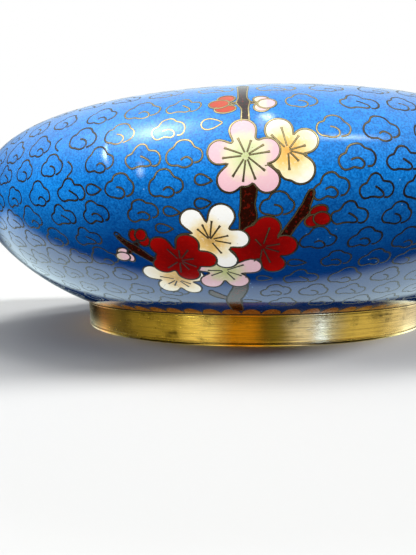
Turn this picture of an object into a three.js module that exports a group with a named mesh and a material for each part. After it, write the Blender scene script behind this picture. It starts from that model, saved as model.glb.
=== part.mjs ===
// Cloisonne bowl: a low, round-bellied enamelled bowl with an in-turned shoulder,
// a brass foot ring and a brass lip. Millimetres, +Z up, origin at the centre of the
// foot's underside, where the bowl stands.

import * as THREE from 'three';

// Overall form of the enamelled shell
const BODY_DIAMETER = 203.2;     // over the widest part of the belly, 8 inches
const BELLY_HEIGHT = 44.5;       // height of the widest part above the table
const SHOULDER_HEIGHT = 72.4;    // height of the enamel where it meets the lip
const SHOULDER_SLOPE = 0.14;     // rise over run of the shoulder where it meets the lip
const BASE_HEIGHT = 5;           // height of the flat enamelled base inside the foot
const BASE_DIAMETER = 96;        // flat part of that base
const SHELL_THICKNESS = 2;       // copper with enamel on both faces

// Reach of the curves that join belly to base and belly to lip
const BELLY_DROP = 16;           // how far the belly runs straight down before it turns in
const BASE_SPREAD = 20.5;        // how far the base runs level before it turns up
const BELLY_RISE = 20;           // how far the belly runs straight up before it turns in
const SHOULDER_SPREAD = 18;      // how far the shoulder runs out from the lip before it turns down

// Foot ring
const FOOT_DIAMETER = 132;       // outside, at the top of the ring
const FOOT_TAPER = 0.5;          // how far the outside draws in, each side, by the bottom
const FOOT_WALL = 2.6;           // thickness of the ring
const FOOT_EDGE_RADIUS = 0.8;    // rounding of the ring's two bottom edges

// Lip
const LIP_WIDTH = 3;             // width of the brass rim seen from above
const LIP_DIAMETER = 131.2;      // outside of the brass rim
const LIP_STAND = 1.5;           // how far it stands above the enamel

const SOLDER_GAP = 0.1;          // clearance where brass meets the shell

// Fineness of the facets
const AROUND = 72;
const FLANK_STEPS = 13;
const SHOULDER_STEPS = 10;
const EDGE_STEPS = 2;
const CROWN_STEPS = 6;

const bodyRadius = BODY_DIAMETER / 2;
const baseRadius = BASE_DIAMETER / 2;
const footRadius = FOOT_DIAMETER / 2;
const lipRadius = LIP_DIAMETER / 2;
const mouthEdgeRadius = lipRadius + SOLDER_GAP;

// The underside and flank, from the rim of the flat base up to the belly
function flankCurve() {
  return new THREE.CubicBezierCurve(
    new THREE.Vector2(baseRadius, BASE_HEIGHT),
    new THREE.Vector2(baseRadius + BASE_SPREAD, BASE_HEIGHT),
    new THREE.Vector2(bodyRadius, BELLY_HEIGHT - BELLY_DROP),
    new THREE.Vector2(bodyRadius, BELLY_HEIGHT),
  );
}

// The shoulder, from the belly up and in to the lip
function shoulderCurve() {
  const level = Math.hypot(1, SHOULDER_SLOPE);
  return new THREE.CubicBezierCurve(
    new THREE.Vector2(bodyRadius, BELLY_HEIGHT),
    new THREE.Vector2(bodyRadius, BELLY_HEIGHT + BELLY_RISE),
    new THREE.Vector2(
      mouthEdgeRadius + SHOULDER_SPREAD / level,
      SHOULDER_HEIGHT - (SHOULDER_SPREAD * SHOULDER_SLOPE) / level,
    ),
    new THREE.Vector2(mouthEdgeRadius, SHOULDER_HEIGHT),
  );
}

// Height of the shell's underside at a radius between the base and the belly
function undersideHeight(radius) {
  const curve = flankCurve();
  let low = 0;
  let high = 1;
  for (let step = 0; step < 40; step += 1) {
    const middle = (low + high) / 2;
    if (curve.getPoint(middle).x < radius) low = middle;
    else high = middle;
  }
  return curve.getPoint(low).y;
}

// Points along a curve and the same points moved in by the shell's thickness
function wallAlong(curve, steps) {
  const outside = [];
  const inside = [];
  for (let step = 0; step <= steps; step += 1) {
    const point = curve.getPoint(step / steps);
    const along = curve.getTangent(step / steps);
    const inward = new THREE.Vector2(-along.y, along.x);
    outside.push(point);
    inside.push(point.clone().addScaledVector(inward, SHELL_THICKNESS));
  }
  return { outside, inside };
}

// A quarter-round corner about a centre, from one angle to another
function corner(centreRadius, centreHeight, radius, from, to, steps) {
  const arc = new THREE.EllipseCurve(centreRadius, centreHeight, radius, radius, from, to, to < from);
  return arc.getPoints(steps);
}

// Turns an outline about the vertical axis; it runs up the outside and down the inside
function turned(outline) {
  return new THREE.LatheGeometry(outline, AROUND).rotateX(Math.PI / 2);
}

function finish(name, colour, roughness, metalness, geometry) {
  const material = new THREE.MeshStandardMaterial({ color: colour, roughness, metalness });
  const mesh = new THREE.Mesh(geometry, material);
  mesh.name = name;
  return mesh;
}

// The enamelled copper shell: one closed wall of even thickness, open at the mouth
function enamelledShell() {
  const flank = wallAlong(flankCurve(), FLANK_STEPS);
  const shoulder = wallAlong(shoulderCurve(), SHOULDER_STEPS);
  // The cut edge at the mouth is upright, so its inner corner is straight below the outer one
  const upright = SHELL_THICKNESS * Math.hypot(1, SHOULDER_SLOPE);
  const innerCorner = new THREE.Vector2(mouthEdgeRadius, SHOULDER_HEIGHT - upright);
  const outline = [
    new THREE.Vector2(0, BASE_HEIGHT),
    ...flank.outside,
    ...shoulder.outside.slice(1),
    innerCorner,
    ...shoulder.inside.slice(1, -1).reverse(),
    ...flank.inside.reverse(),
    new THREE.Vector2(0, BASE_HEIGHT + SHELL_THICKNESS),
  ];
  return finish('enamelled_shell', 0x2f74c4, 0.15, 0, turned(outline));
}

// The brass foot ring, its top cut to the shell's underside
function footRing() {
  const innerRadius = footRadius - FOOT_WALL;
  const lowRadius = footRadius - FOOT_TAPER;
  const edge = FOOT_EDGE_RADIUS;
  const outline = [
    ...corner(innerRadius + edge, edge, edge, -Math.PI, -Math.PI / 2, EDGE_STEPS),
    ...corner(lowRadius - edge, edge, edge, -Math.PI / 2, 0, EDGE_STEPS),
    new THREE.Vector2(footRadius, undersideHeight(footRadius) - SOLDER_GAP),
    new THREE.Vector2(innerRadius, undersideHeight(innerRadius) - SOLDER_GAP),
  ];
  outline.push(outline[0].clone());
  return finish('foot_ring', 0xb08a3e, 0.35, 1, turned(outline));
}

// The brass lip: a half-round band set in the mouth of the shell
function lipBand() {
  const innerRadius = lipRadius - LIP_WIDTH;
  const bottom = SHOULDER_HEIGHT - SHELL_THICKNESS * Math.hypot(1, SHOULDER_SLOPE);
  const crown = LIP_WIDTH / 2;
  const outline = [
    new THREE.Vector2(innerRadius, bottom),
    new THREE.Vector2(lipRadius, bottom),
    ...corner(innerRadius + crown, SHOULDER_HEIGHT + LIP_STAND - crown, crown, 0, Math.PI, CROWN_STEPS),
  ];
  outline.push(outline[0].clone());
  return finish('lip_band', 0xb08a3e, 0.3, 1, turned(outline));
}

const bowl = new THREE.Group();
bowl.add(enamelledShell(), footRing(), lipBand());

export default bowl;
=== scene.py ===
# Cloisonne bowl: the visual model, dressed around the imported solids. Metres, +Z up, with the
# photographed side facing -Y. A place on the outside is an azimuth in degrees from that side,
# positive to the right, and an arc in millimetres up the wall from the edge of the flat base.
import bisect
import math
import random

import bpy
from bpy.props import FloatProperty, FloatVectorProperty, IntProperty, PointerProperty
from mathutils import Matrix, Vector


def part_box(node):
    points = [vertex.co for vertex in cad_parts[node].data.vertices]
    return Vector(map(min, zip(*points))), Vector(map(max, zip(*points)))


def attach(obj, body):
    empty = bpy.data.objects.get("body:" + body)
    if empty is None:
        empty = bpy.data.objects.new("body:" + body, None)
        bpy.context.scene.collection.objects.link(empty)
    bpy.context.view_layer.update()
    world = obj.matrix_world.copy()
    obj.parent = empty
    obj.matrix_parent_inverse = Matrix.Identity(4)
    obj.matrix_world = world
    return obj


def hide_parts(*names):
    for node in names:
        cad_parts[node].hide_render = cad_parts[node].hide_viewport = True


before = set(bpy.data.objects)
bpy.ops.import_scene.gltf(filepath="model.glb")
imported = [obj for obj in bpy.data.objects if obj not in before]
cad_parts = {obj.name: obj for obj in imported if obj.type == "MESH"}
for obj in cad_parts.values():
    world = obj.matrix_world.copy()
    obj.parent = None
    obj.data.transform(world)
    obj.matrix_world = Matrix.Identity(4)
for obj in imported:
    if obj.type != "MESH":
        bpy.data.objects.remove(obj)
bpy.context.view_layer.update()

bl_info = {
    "name": "Cloisonne Bowl",
    "version": (1, 0, 0),
    "blender": (4, 5, 0),
    "location": "View3D > Sidebar > Bowl",
    "description": "Enamelled bowl with gilt wires, blossom sprays, brass foot and brass lip",
    "category": "Add Mesh",
}

MM = 0.001
SHELL_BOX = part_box("enamelled_shell")
FOOT_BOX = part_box("foot_ring")
LIP_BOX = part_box("lip_band")

# The camera: place in metres, turn in degrees, lens and sensor in millimetres
CAMERA_PLACE = (0.0, -0.2086, 0.0284)
CAMERA_TURN = (86.705, 0.675, 4.894)
LENS, SENSOR = 32.43, 36.0

# The forms, in millimetres, and the shoulder's slope beside the mouth
BELLY_HEIGHT = 44.5
SHOULDER_SLOPE = 0.14
BASE_RADIUS = 48.0
BELLY_DROP, BASE_SPREAD, BELLY_RISE, SHOULDER_SPREAD = 16.0, 20.5, 20.0, 18.0
MOUTH_EDGE_RADIUS = 65.7
FOOT_WALL, FOOT_TAPER, FOOT_BEAD, SOLDER_GAP = 2.6, 0.5, 1.1, 0.1
LIP_WIDTH = 3.0

# Enamel inlays, in millimetres: depth, lift of the lowest layer and of each one more over the ground,
# and width of the square that a blossom's UV map covers
INLAY_DEPTH = 0.15
FIRST_LIFT, LAYER_LIFT = 0.012, 0.008
PETAL_MAP = 20.0

# Steps round a turned piece and along the shell's line, and the points and rings of an inlay
TURNED_STEPS = 256
LINE_STEPS = 300
BLOSSOM_POINTS, BLOSSOM_RINGS = 120, 9
LOBE_POINTS, LOBE_RINGS = 40, 5
# Least distance of a blossom's outline from its centre, as a share of its longest petal's reach
THROAT_SHARE = 0.62

# Blossoms: centre azimuth and arc, layer (higher lies in front), enamel, petals and the webs
# between them as (direction in degrees, reach, radius), and stamens as (direction, start, end)
FRONT_BLOSSOMS = (
    ("pink_blossom", -0.5, 74.2, 4, "pink",
     ((97, 5.6, 2.9), (171, 5.6, 2.75), (235, 6.2, 2.7), (310, 6.8, 2.75), (13, 4.5, 2.8), (266, 4.4, 2.2)),
     ((114, 0.7, 4.3), (159, 0.8, 5.0), (185, 1.0, 5.1), (72, 0.7, 3.5), (31, 0.6, 4.4),
      (8, 0.6, 5.1), (-40, 0.6, 5.2), (-69, 0.9, 5.5), (-97, 1.0, 5.6), (-123, 0.9, 5.3))),
    ("yellow_blossom", 4.5, 75.1, 1, "yellow",
     ((111, 4.9, 3.0), (30, 4.3, 2.75), (-57, 4.9, 3.0), (185, 5.4, 2.8), (236, 2.4, 2.4), (275, 4.0, 2.3)),
     ((103, 1.0, 5.5), (134, 1.0, 5.0), (54, 0.5, 4.1), (16, 0.3, 3.9), (-14, 0.6, 4.2),
      (-46, 0.5, 3.2), (-87, 0.6, 4.2))),
    ("white_blossom", -5.6, 55.0, 3, "white",
     ((62, 6.9, 3.0), (1, 6.4, 2.6), (-65, 7.0, 2.9), (123, 6.3, 2.85), (190, 5.6, 2.9), (35, 3.4, 2.2),
      (-31, 3.0, 2.2), (90, 2.6, 2.1)),
     ((130, 0.4, 4.0), (107, 0.6, 4.4), (79, 0.5, 5.2), (54, 0.3, 4.7), (14, 0.9, 4.5),
      (-14, 1.2, 4.9), (-62, 1.0, 4.8))),
    ("red_blossom_left", -10.8, 48.5, 4, "red",
     ((128, 6.0, 2.8), (60, 6.1, 2.8), (3, 6.4, 2.75), (-78, 4.8, 2.9), (-160, 4.9, 2.8), (28, 4.0, 2.4),
      (171, 4.0, 2.2), (-36, 3.0, 2.2), (247, 2.4, 2.1)),
     ((120, 0.9, 4.5), (80, 0.8, 3.5), (51, 0.9, 4.5), (10, 0.4, 3.6), (-32, 0.6, 4.3),
      (-65, 0.8, 3.7), (-101, 0.8, 4.6), (-145, 0.9, 4.7))),
    ("red_blossom_right", 1.6, 52.7, 1, "red",
     ((80, 5.2, 3.1), (2, 4.9, 3.1), (-64, 6.4, 2.85), (-143, 4.9, 2.8), (160, 4.5, 2.8), (184, 6.0, 2.5),
      (122, 4.0, 2.6)),
     ((126, 0.4, 2.8), (75, 0.9, 5.6), (11, 0.9, 4.0), (-23, 0.7, 4.2), (-69, 0.6, 5.6),
      (-95, 0.8, 4.5))),
    ("mauve_blossom", -4.1, 44.6, 2, "mauve",
     ((14, 6.6, 2.6), (-55, 4.9, 2.85), (-131, 5.7, 2.85), (85, 5.0, 2.7), (155, 5.5, 2.7)),
     ((178, 0.7, 4.2), (-151, 0.6, 4.1), (25, 0.6, 5.2), (-28, 0.8, 4.4), (-61, 0.8, 4.2))),
    ("cream_blossom", -12.6, 41.0, 1, "cream",
     ((155, 6.5, 2.8), (-137, 4.5, 2.9), (-55, 4.75, 2.6), (20, 5.0, 2.7), (85, 5.0, 2.7)),
     ((165, 1.0, 4.6), (-146, 1.0, 3.8), (-120, 0.8, 3.4), (-60, 0.9, 4.0), (-35, 1.0, 3.6))),
)
# Buds: enamel, and lobes from back to front as (azimuth, arc, half width, half height, turn)
FRONT_BUDS = (
    ("red_bud_top", "vermilion",
     ((-3.2, 90.0, 2.0, 1.6, 10), (-3.2, 86.1, 2.4, 1.3, 4), (-4.1, 88.0, 2.3, 1.55, 6))),
    ("pink_bud_top", "pink",
     ((1.5, 89.2, 1.75, 1.45, -8), (1.5, 86.3, 1.75, 1.45, 0), (2.2, 87.6, 2.1, 1.75, 8))),
    ("red_bud_right", "red",
     ((8.5, 62.1, 2.0, 1.3, 18), (8.0, 59.7, 1.9, 1.55, 12), (9.1, 60.2, 2.0, 1.65, -20))),
    ("red_bud_left", "red",
     ((-15.3, 54.9, 1.45, 1.7, -38), (-16.7, 56.6, 1.1, 1.85, -22), (-15.5, 56.7, 1.4, 1.85, -40))),
    ("mauve_bud_left", "mauve",
     ((-19.8, 51.8, 1.7, 1.05, 20), (-18.9, 49.6, 1.15, 1.45, -10), (-20.2, 50.0, 2.1, 1.5, 8))),
)
# Branches: points as (azimuth, arc, half width), from root to tip
FRONT_BRANCHES = (
    ("trunk", ((-3.0, 22.6, 1.3), (-3.1, 24.5, 1.6), (-3.4, 28.5, 1.95), (-3.4, 31.0, 1.9),
               (-2.7, 33.5, 2.0), (-1.9, 37.2, 1.9), (-1.9, 44.0, 1.5), (-1.4, 50.0, 1.3),
               (-0.9, 56.0, 1.2), (-0.7, 59.0, 1.25), (-0.35, 60.9, 1.95), (-0.35, 63.8, 1.55),
               (-0.2, 67.6, 1.75), (-0.4, 74.0, 1.4))),
    ("trunk_top", ((-0.5, 78.0, 0.9), (-0.6, 82.9, 0.85), (-0.65, 86.0, 0.8), (-0.9, 88.3, 1.5),
                   (-1.0, 90.3, 1.0), (-1.05, 94.5, 1.1), (-1.1, 98.5, 1.3))),
    ("branch_right", ((3.4, 52.0, 1.1), (4.6, 56.0, 1.1), (5.3, 58.4, 1.05), (6.0, 60.4, 1.05),
                      (6.6, 62.0, 1.3), (6.85, 63.4, 0.95), (7.1, 64.9, 0.85), (7.35, 66.1, 0.75))),
    ("branch_left", ((-13.8, 46.6, 0.95), (-15.4, 49.0, 1.0), (-16.2, 50.4, 1.1), (-17.1, 52.1, 1.35),
                     (-17.9, 53.5, 1.15), (-18.6, 54.8, 0.85), (-19.15, 56.1, 0.65))),
    ("stem_left_red", ((-17.2, 53.0, 0.8), (-16.7, 54.2, 0.6))),
    ("stem_left_mauve", ((-17.8, 52.6, 0.8), (-18.7, 51.3, 0.4))),
    ("stem_right_red", ((6.7, 61.8, 0.6), (7.3, 61.4, 0.35))),
    ("stem_top_red", ((-1.3, 88.3, 0.5), (-2.3, 88.0, 0.35))),
    ("stem_top_pink", ((-0.4, 88.3, 0.5), (0.6, 88.0, 0.3))),
    ("root_spur", ((-4.0, 31.2, 0.9), (-5.2, 32.0, 0.9), (-6.2, 32.9, 1.1), (-7.1, 34.2, 1.1),
                   (-7.3, 35.2, 0.6))),
)
# Little drops of wire: azimuth and arc of the round end's middle, length, width, turn, open or not.
# The last is the hollow tip of the left branch
FRONT_DROPS = (
    (-6.1, 81.8, 4.7, 3.0, 4, True), (-6.75, 69.6, 3.8, 2.4, -8, False), (-7.0, 64.2, 3.8, 2.4, 2, True),
    (-11.25, 62.9, 3.9, 2.4, -10, False), (-12.9, 58.5, 4.2, 2.6, -4, False),
    (-22.1, 68.7, 4.3, 2.6, -4, False), (5.5, 47.4, 4.4, 2.4, -2, False),
    (0.9, 41.5, 3.8, 2.2, -2, False), (-1.9, 29.8, 5.4, 2.0, -4, True),
    (-19.5, 57.6, 2.7, 1.4, -62, False),
)
# Short bent wires: azimuth, arc, height and how far they bulge to the right
FRONT_ARCS = ((-28.0, 80.6, 3.6, -1.6), (-24.9, 73.9, 3.7, 1.7))
# Azimuth and arc of the spot round which the gilt wires are painted bright, a painted highlight where the
# windows' glare falls
GILT_GLINT_SPOT = (-2.0, 79.0)


def plain_blossom(name, azimuth, arc, layer, enamel, first, reach, radius, far, hidden=None):
    """A blossom of five like petals, the first in a given direction, with two stamens on each.

    A petal that another blossom hides has no stamens."""
    turns = [(first + 72 * number) % 360 for number in range(5)]
    petals = tuple((turn, reach, radius) for turn in turns)
    stamens = tuple((turn + side, 0.8, far) for turn in turns if turn != hidden for side in (14, -14))
    return name, azimuth, arc, layer, enamel, petals, stamens


BACK_BLOSSOMS = (
    plain_blossom("back_pink_blossom", 179.0, 66.0, 4, "pink", 90, 5.6, 2.8, 4.8),
    plain_blossom("back_white_blossom", 185.6, 57.5, 3, "white", 70, 5.5, 2.8, 4.6, hidden=142),
    plain_blossom("back_red_blossom", 176.0, 50.5, 2, "red", 100, 5.4, 2.75, 4.4, hidden=100),
)
BACK_BUDS = (
    ("back_red_bud", "red", ((176.6, 86.6, 1.9, 1.5, 8), (176.6, 83.4, 2.1, 1.2, 2),
                             (175.6, 85.0, 2.1, 1.4, 4))),
    ("back_pink_bud", "pink", ((188.6, 71.0, 1.9, 1.3, 14), (187.8, 68.4, 1.8, 1.3, 8),
                               (189.2, 69.4, 1.9, 1.4, -16))),
)
BACK_BRANCHES = (
    ("back_trunk", ((178.2, 23.0, 1.5), (178.0, 30.0, 1.8), (179.2, 37.0, 1.6), (179.4, 46.0, 1.4),
                    (178.6, 56.0, 1.4), (179.2, 66.0, 1.3), (179.0, 76.0, 1.1), (178.4, 83.0, 1.3),
                    (178.2, 86.0, 0.9), (178.6, 92.0, 0.7))),
    ("back_branch", ((183.0, 59.0, 1.0), (185.6, 63.5, 0.9), (186.6, 67.0, 1.1), (187.2, 70.5, 0.7),
                     (187.4, 73.0, 0.4))),
)
BACK_DROPS = (
    (173.0, 74.0, 4.0, 2.5, -6, False), (182.0, 79.0, 4.0, 2.5, 6, True), (170.5, 60.0, 4.0, 2.5, 0, False),
    (184.0, 45.0, 4.0, 2.4, 0, False),
)

# Clouds as one open stroke each, from the tip of the curl round to its other end
CLOUD_STROKES = (
    ((-0.7, -0.1), (0.5, -0.4), (1.3, -1.4), (0.9, -2.3), (-0.3, -2.6), (-1.6, -2.3), (-2.5, -2.2),
     (-3.4, -1.4), (-3.5, -0.3), (-2.9, 0.8), (-1.9, 1.2), (-1.5, 2.1), (-0.4, 2.7), (1.0, 2.6),
     (2.0, 1.9), (2.3, 1.3), (3.3, 0.5), (3.6, -0.7), (2.9, -1.9), (1.5, -2.4)),
    ((-0.7, -1.4), (0.2, -0.8), (1.3, -1.2), (1.8, -2.1), (1.2, -2.8), (-0.4, -2.9), (-1.3, -2.5),
     (-2.7, -2.6), (-3.7, -1.8), (-3.9, -0.5), (-3.3, 0.7), (-2.4, 1.3), (-1.7, 2.5), (-0.1, 3.0),
     (1.3, 2.4), (2.1, 1.2), (3.5, 0.5), (3.9, -0.8), (3.2, -1.9), (2.1, -2.2)),
    ((-0.5, 0.0), (1.0, -0.9), (1.7, -1.8), (1.0, -2.3), (-0.2, -2.2), (-1.4, -2.2), (-2.6, -2.5),
     (-3.6, -1.8), (-4.0, -0.7), (-3.5, 0.3), (-2.5, 0.7), (-1.8, 1.9), (-0.6, 2.6), (0.6, 2.2),
     (1.3, 1.1), (2.8, 0.9), (3.8, -0.2), (3.6, -1.6), (2.6, -2.3), (1.8, -2.2)),
    ((-1.3, -0.6), (-0.2, -0.2), (1.0, -0.7), (1.4, -1.6), (0.7, -2.3), (-0.6, -2.0), (-1.5, -2.4),
     (-2.5, -2.6), (-3.4, -1.9), (-3.7, -0.7), (-3.2, 0.2), (-2.4, 0.7), (-2.0, 1.9), (-0.8, 2.6),
     (0.5, 2.5), (1.3, 1.8), (2.6, 1.5), (3.5, 0.5), (3.5, -0.7), (2.9, -1.6), (2.0, -1.8)),
)
# Rows of clouds: arc on the left and on the right of the spray, and azimuths of the clouds in front
CLOUD_ROWS = (
    (29.0, 29.0, (-41, -33, -25, -17.5, 6.5, 14.5, 22.5, 30.5)),
    (35.8, 35.6, (-43.5, -36, -28.5, -21.5, -14.5, 4.6, 11.5, 19, 26.5)),
    (43.0, 42.1, (-42, -35.5, -29, -22.5, 8.2, 15.8, 23.4, 30.8)),
    (50.0, 48.7, (-47, -41.5, -35.5, -29.5, -23.9, 12.9, 19, 24.9, 31)),
    (56.6, 55.1, (-45, -38.2, -31.6, -24.8, 9.2, 15.9, 22.6, 29.5)),
    (63.0, 61.5, (-47, -40.7, -35, -27.6, -21.4, -14.1, 12.8, 19.2, 25.6)),
    (68.9, 67.6, (-44, -37.9, -31.3, -24.9, -16.9, -10.6, 9.8, 15.5, 21.5, 28)),
    (75.3, 73.7, (-47, -40.8, -34.9, -28.5, -19.9, -13.4, -8.1, 13, 19.3, 25.8)),
    (81.4, 80.6, (-45, -38.9, -32.1, -23.4, -17.4, -10.4, 10.2, 16.6, 23.2)),
    (88.5, 88.8, (-42.5, -35.6, -28.9, -21.6, -15, -8.8, 6.8, 14.6, 21)),
    (96.9, 96.7, (-34, -27, -19.9, -13, -5.2, 3.9, 11.5, 18.9, 26)),
    (104.4, 104.4, (-24, -16, -8.5, 2.4, 9.6, 17.5)),
    (112.4, 112.4, (-22, -13, -4.6, 3.6, 12, 20.5)),
)
LONE_CLOUDS = ((3.3, 63.8),)
# Room that a cloud needs beside a spray, half across and half up, and the arcs between its zones
CLOUD_ROOM = (4.3, 3.3)
FLANK_TOP, BELLY_TOP, SMALL_CLOUDS_FROM = 52.0, 78.0, 108.0

# Tones round the foot ring, as (azimuth, tone): partly tarnish and partly painted reflection, the pale ones
# painted highlights
RING_TARNISH_AND_REFLECTIONS = (
    (-180, "olive"), (-150, "gold"), (-118, "olive"), (-84, "copper"), (-62, "olive"), (-50, "copper"),
    (-41, "olive"), (-21, "olive"), (-15, "gold"), (-10, "gold"), (-4.5, "copper"), (1.5, "copper"),
    (6, "olive"), (8, "olive"), (12.5, "pale"), (18, "pale"), (25, "gold"), (36, "gold"), (50, "pale"),
    (80, "olive"), (104, "gold"), (140, "copper"), (160, "olive"), (180, "olive"),
)


# The bowl's outside as a surface
class Outside:
    """The outside of the shell: a line of two curves, turned about the axis."""

    def __init__(self):
        body = SHELL_BOX[1][0] / MM
        base, shoulder = SHELL_BOX[0][2] / MM, SHELL_BOX[1][2] / MM
        level = math.hypot(1, SHOULDER_SLOPE)
        self.flank = ((BASE_RADIUS, base), (BASE_RADIUS + BASE_SPREAD, base),
                      (body, BELLY_HEIGHT - BELLY_DROP), (body, BELLY_HEIGHT))
        self.shoulder = ((body, BELLY_HEIGHT), (body, BELLY_HEIGHT + BELLY_RISE),
                         (MOUTH_EDGE_RADIUS + SHOULDER_SPREAD / level,
                          shoulder - SHOULDER_SPREAD * SHOULDER_SLOPE / level),
                         (MOUTH_EDGE_RADIUS, shoulder))
        self.line = [self.on_curve(self.flank, i / LINE_STEPS) for i in range(LINE_STEPS)]
        self.line += [self.on_curve(self.shoulder, i / LINE_STEPS) for i in range(LINE_STEPS + 1)]
        self.arcs = [0.0]
        for here, there in zip(self.line, self.line[1:]):
            self.arcs.append(self.arcs[-1] + math.dist(here, there))

    @staticmethod
    def on_curve(handles, t):
        """Radius and height at a share of the way along one of the two curves."""
        weights = ((1 - t) ** 3, 3 * t * (1 - t) ** 2, 3 * t * t * (1 - t), t ** 3)
        return tuple(sum(w * handle[axis] for w, handle in zip(weights, handles)) for axis in (0, 1))

    def at(self, arc):
        """Radius, height and the outward normal's two parts at an arc."""
        i = min(max(bisect.bisect_right(self.arcs, arc) - 1, 0), len(self.line) - 2)
        (r0, z0), (r1, z1) = self.line[i], self.line[i + 1]
        span = self.arcs[i + 1] - self.arcs[i]
        share = (arc - self.arcs[i]) / span
        return r0 + (r1 - r0) * share, z0 + (z1 - z0) * share, (z1 - z0) / span, (r0 - r1) / span

    def turn(self, azimuth, arc, along):
        """The azimuth that lies a distance along the wall from another."""
        return azimuth + math.degrees(along / self.at(arc)[0])

    def place(self, azimuth, arc, lift=0.0):
        """A point on the outside, in metres, lifted off it by so many millimetres."""
        radius, height, out, up = self.at(arc)
        reach, angle = radius + lift * out, math.radians(azimuth)
        return (reach * math.sin(angle) * MM, -reach * math.cos(angle) * MM, (height + lift * up) * MM)

    def flat(self, azimuth, arc, centre):
        """Millimetres along and up the wall from a centre's azimuth and arc."""
        return math.radians(azimuth - centre[0]) * self.at(arc)[0], arc - centre[1]


OUTSIDE = Outside()


# Small modelling helpers
def pick(*pieces):
    """Selects only these objects and makes the first one active."""
    if bpy.context.object and bpy.context.object.mode != "OBJECT":
        bpy.ops.object.mode_set(mode="OBJECT")
    bpy.ops.object.select_all(action="DESELECT")
    for piece in pieces:
        piece.select_set(True)
    bpy.context.view_layer.objects.active = pieces[0]


def started(name):
    """The primitive that was just added, under its name."""
    piece = bpy.context.object
    piece.name = piece.data.name = name
    return piece


def linked(name, data):
    """A new object with this mesh or curve."""
    piece = bpy.data.objects.new(name, data)
    bpy.context.collection.objects.link(piece)
    return piece


def choose_edges(piece, test):
    """Selects in edit mode the edges whose two ends pass a test."""
    bpy.ops.object.mode_set(mode="OBJECT")
    mesh = piece.data
    for part in (*mesh.vertices, *mesh.edges, *mesh.polygons):
        part.select = False
    for edge in mesh.edges:
        edge.select = all(test(mesh.vertices[i].co) for i in edge.vertices)
    bpy.ops.object.mode_set(mode="EDIT")
    bpy.ops.mesh.select_mode(type="EDGE")


def modifier(piece, kind, **settings):
    """Adds a modifier to a piece and applies it."""
    pick(piece)
    bpy.ops.object.modifier_add(type=kind)
    added = piece.modifiers[-1]
    for name, value in settings.items():
        setattr(added, name, value)
    bpy.ops.object.modifier_apply(modifier=added.name)


def drawn(name, strokes, width=0.0, smooth=0):
    """Strokes of (points, closed) in millimetres, drawn as a line or a wire and made a mesh."""
    curve = bpy.data.curves.new(name, "CURVE")
    curve.dimensions = "3D"
    curve.twist_mode = "Z_UP"
    curve.bevel_depth = width / 2 * MM
    curve.bevel_resolution = 0
    curve.use_fill_caps = True
    curve.resolution_u = max(smooth, 1)
    for points, closed in strokes:
        spline = curve.splines.new("BEZIER" if smooth else "POLY")
        knots = spline.bezier_points if smooth else spline.points
        knots.add(len(points) - 1)
        for knot, point in zip(knots, points):
            place = [value * MM for value in (*point, 0.0)[:3]]
            knot.radius = point[3] if len(point) > 3 else 1.0
            if smooth:
                knot.co = place
                knot.handle_left_type = knot.handle_right_type = "AUTO"
            else:
                knot.co = (*place, 1.0)
        spline.use_cyclic_u = closed
    piece = linked(name, curve)
    pick(piece)
    bpy.ops.object.convert(target="MESH")
    return bpy.context.object


def spun(piece):
    """Turns a line in the XZ plane about the bowl's axis and closes the seam."""
    pick(piece)
    bpy.ops.object.mode_set(mode="EDIT")
    bpy.ops.mesh.select_all(action="SELECT")
    bpy.ops.mesh.spin(steps=TURNED_STEPS, angle=math.tau, center=(0, 0, 0), axis=(0, 0, 1),
                      use_auto_merge=True)
    bpy.ops.mesh.select_all(action="SELECT")
    bpy.ops.mesh.remove_doubles(threshold=0.01 * MM)
    bpy.ops.mesh.normals_make_consistent(inside=False)
    bpy.ops.object.mode_set(mode="OBJECT")


def lay(piece, azimuth, arc, lift=0.0, rise=1.0, crown=0.0):
    """Lays a flat drawing on the bowl: its X runs round the wall, its Y up it, its Z off it.

    A wire also gets its crown: 1 along its top and 0 where it meets the enamel."""
    tops = piece.data.attributes.new("crown", "FLOAT", "POINT") if crown else None
    for number, vertex in enumerate(piece.data.vertices):
        along, up, off = (value / MM for value in vertex.co)
        if tops:
            tops.data[number].value = off / crown
        here = arc + up
        vertex.co = OUTSIDE.place(OUTSIDE.turn(azimuth, here, along), here, lift + rise * off)
    piece.data.update()


def joined(name, pieces):
    """The pieces as one, under one name."""
    pick(*pieces)
    if len(pieces) > 1:
        bpy.ops.object.join()
    piece = bpy.context.object
    piece.name = piece.data.name = name
    return piece


def finished(piece, finish, replaced=None, angle=35):
    """Gives a piece its finish and its place in the frame."""
    pick(piece)
    bpy.ops.object.shade_smooth_by_angle(angle=math.radians(angle))
    if finish is not None:
        piece.data.materials.clear()
        piece.data.materials.append(finish)
    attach(piece, "root")
    linked_to("bowl_pieces").objects.link(piece)
    if replaced:
        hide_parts(replaced)
    return piece


# Shader maths
class Signal:
    """A shader socket that can be added to, multiplied and compared like a number."""

    def __init__(self, finish, socket):
        self.finish, self.socket = finish, socket

    def maths(self, operation, *values):
        """One Math node on these values."""
        inputs = dict(enumerate(values))
        return self.finish.node("ShaderNodeMath", {"operation": operation}, inputs)

    def __add__(self, other):
        return self.maths("ADD", self, other)

    __radd__ = __add__

    def __mul__(self, other):
        return self.maths("MULTIPLY", self, other)

    __rmul__ = __mul__

    def __sub__(self, other):
        return self.maths("SUBTRACT", self, other)

    def __rsub__(self, other):
        return self.maths("SUBTRACT", other, self)

    def __pow__(self, other):
        return self.maths("POWER", self, other)

    def __rpow__(self, other):
        return self.maths("POWER", other, self)

    def above(self, low, high):
        """0 under low, 1 over high and a smooth rise between."""
        return self.finish.node("ShaderNodeMapRange", {"interpolation_type": "SMOOTHSTEP"},
                                {0: self, 1: low, 2: high})


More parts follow.
